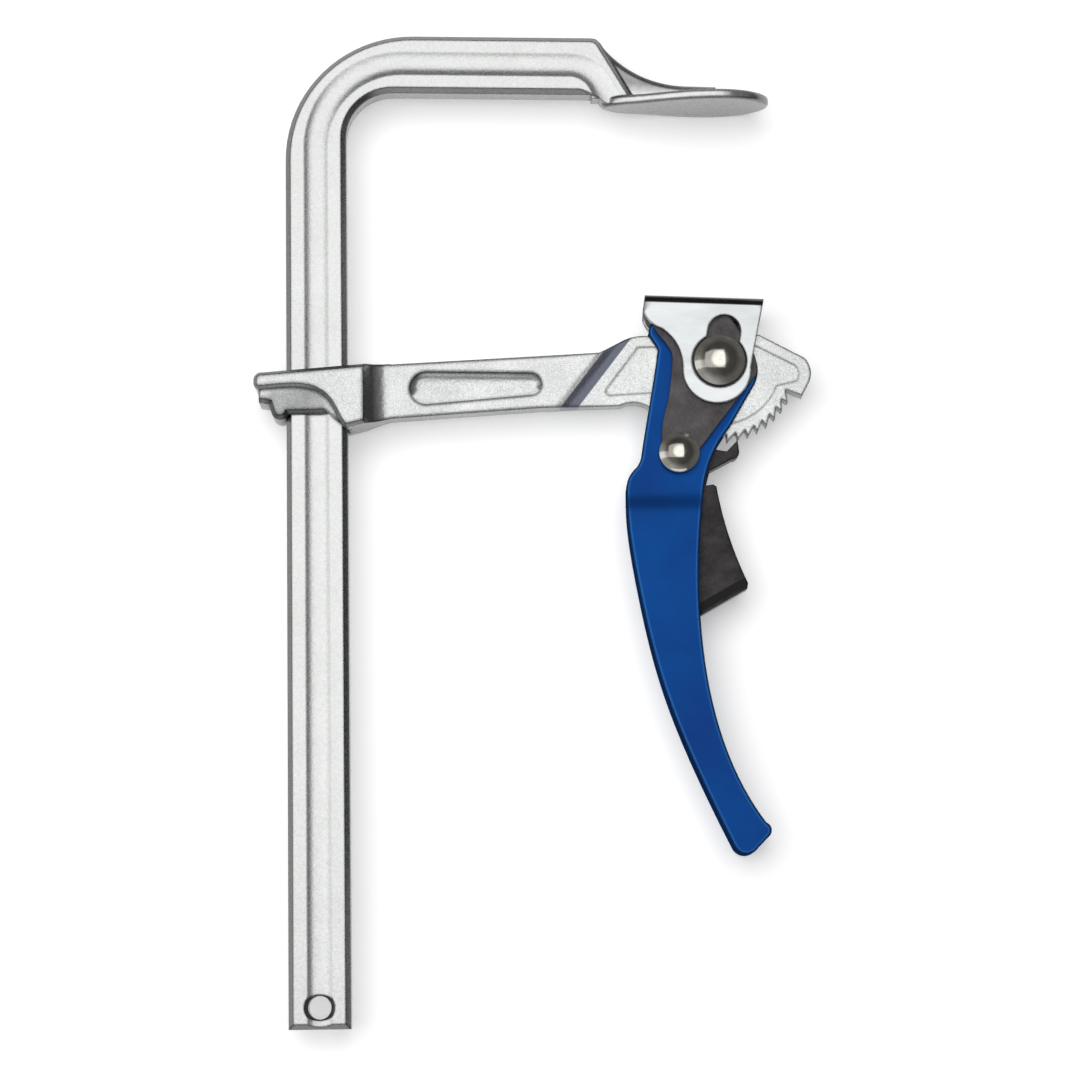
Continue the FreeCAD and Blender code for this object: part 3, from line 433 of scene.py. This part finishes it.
finishes = {
    "plated_steel": platedSteel("platedSteel", plating, ribHollow),
    "forged_steel": platedSteel("forgedSteel", forging, lobeHollow, recess, rampShadeStrip),
    "chrome_sheet": chromeSheet(chrome, bendShadeStrip),
    "blue_paint": blueEnamel(enamel),
    "black_oxide": blackOxide("blackOxide", oxide),
    "pawl_oxide": blackOxide("pawlOxide", pawlOxide, triggerFootShade),
    "polished_nickel": polishedNickel(nickel),
    "spring_steel": springSteel(wire),
}
slots = {
    "bail": "plated_steel", "sliding_arm": "forged_steel", "pressure_cap": "chrome_sheet",
    "handle": "blue_paint", "cam_plate_front": "black_oxide", "cam_plate_back": "black_oxide",
    "release_pawl": "pawl_oxide", "pivot_rivet": "polished_nickel", "pawl_rivet": "polished_nickel",
    "pawl_spring": "spring_steel",
}
for name, slotName in slots.items():
    mesh = nodes[name].data
    if not mesh.materials:
        mesh.materials.append(None)
    for index in range(len(mesh.materials)):
        mesh.materials[index] = finishes[slotName]
print("finishes set:", len(finishes))


# studio: pale floor, one large soft light above, weak ones at the left and at the rail's lower end, an
# even fill that no gloss shows, and surroundings that are brighter towards the lower left
studio = dict(floorColour=(0.86, 0.86, 0.86), lighter=1.02, cloud=dict(scale=6), floorSize=16.0, gap=0.0002,
              lift=0.26)
surroundings = dict(bright=(-0.80, -0.60, 0.0), dark=0.16, light=0.48, span=(0.05, 0.85))
lamps = {
    "overhead": dict(place=(-0.35, 0.70, 1.70), target=(-0.35, 0.70, 0), size=(2.2, 1.9), power=13.0),
    "leftSide": dict(place=(-1.90, 0.20, 1.10), target=(0.08, 0.18, 0), size=(0.9, 1.6), power=2.5),
    "lowerEnd": dict(place=(0.10, -1.50, 0.45), target=(0.08, 0.20, 0), size=(1.8, 0.6), power=2.7),
}
fill = dict(aim=(0.12, -0.16, -1.0), strength=1.60, angle=60)


def makeFloor(look, level):
    half = look["floorSize"] / 2
    corners = [(-half, -half, level), (half, -half, level), (half, half, level), (-half, half, level)]
    mesh = bpy.data.meshes.new("floor")
    mesh.from_pydata(corners, [], [(0, 1, 2, 3)])
    floor = bpy.data.objects.new("floor", mesh)
    bpy.context.scene.collection.objects.link(floor)
    material, tree, place = newMaterial("paleFloor")
    cloud = noiseField(tree, place, **look["cloud"])
    lightColour = [share * look["lighter"] for share in look["floorColour"]]
    colour = blendColours(tree, cloud, look["floorColour"], lightColour)
    matt = addNode(tree, "BsdfDiffuse", {"Color": colour}).outputs[0]
    glow = addNode(tree, "Emission", {"Color": (1, 1, 1, 1), "Strength": look["lift"]}).outputs[0]
    # the lift shows to the camera, in gloss and through glass, and lights nothing
    path = addNode(tree, "LightPath").outputs
    seen = calculate(tree, "MAXIMUM", path["Is Camera Ray"], path["Is Glossy Ray"])
    seen = calculate(tree, "MAXIMUM", seen, path["Is Transmission Ray"])
    lifted = addNode(tree, "AddShader", {0: matt, 1: glow}).outputs[0]
    surface = addNode(tree, "MixShader", {0: seen, 1: matt, 2: lifted}).outputs[0]
    addNode(tree, "OutputMaterial", {"Surface": surface})
    mesh.materials.append(material)


def makeLamp(name, look):
    data = bpy.data.lights.new(name, "AREA")
    data.shape = "RECTANGLE"
    data.size, data.size_y = look["size"]
    data.energy = look["power"]
    lamp = bpy.data.objects.new(name, data)
    place = Vector(look["place"])
    aim = (Vector(look["target"]) - place).to_track_quat("-Z", "Y")
    lamp.matrix_world = Matrix.Translation(place) @ aim.to_matrix().to_4x4()
    bpy.context.scene.collection.objects.link(lamp)


def makeFill(look):
    data = bpy.data.lights.new("fill", "SUN")
    data.energy = look["strength"]
    data.angle = math.radians(look["angle"])
    lamp = bpy.data.objects.new("fill", data)
    lamp.matrix_world = Vector(look["aim"]).to_track_quat("-Z", "Y").to_matrix().to_4x4()
    lamp.visible_glossy = False
    bpy.context.scene.collection.objects.link(lamp)


def makeWorld(look):
    # grey by direction: dark + (light - dark) * smooth step of direction . bright
    world = bpy.data.worlds.new("studioWorld")
    world.use_nodes = True
    tree = world.node_tree
    tree.nodes.clear()
    ray = addNode(tree, "TexCoord").outputs["Generated"]
    along = calculateVector(tree, "DOT_PRODUCT", ray, Vector(look["bright"]).normalized())
    grey = addNode(tree, "MapRange", {
        "Value": along, "From Min": look["span"][0], "From Max": look["span"][1],
        "To Min": look["dark"], "To Max": look["light"]}, interpolation_type="SMOOTHSTEP").outputs[0]
    back = addNode(tree, "Background", {"Strength": grey}).outputs[0]
    addNode(tree, "OutputWorld", {"Surface": back})
    bpy.context.scene.world = world


makeFloor(studio, cadBox[0].z - studio["gap"])
makeWorld(surroundings)
makeFill(fill)
for name, look in lamps.items():
    makeLamp(name, look)
bpy.context.scene.view_settings.view_transform = "Standard"
print("studio ready")
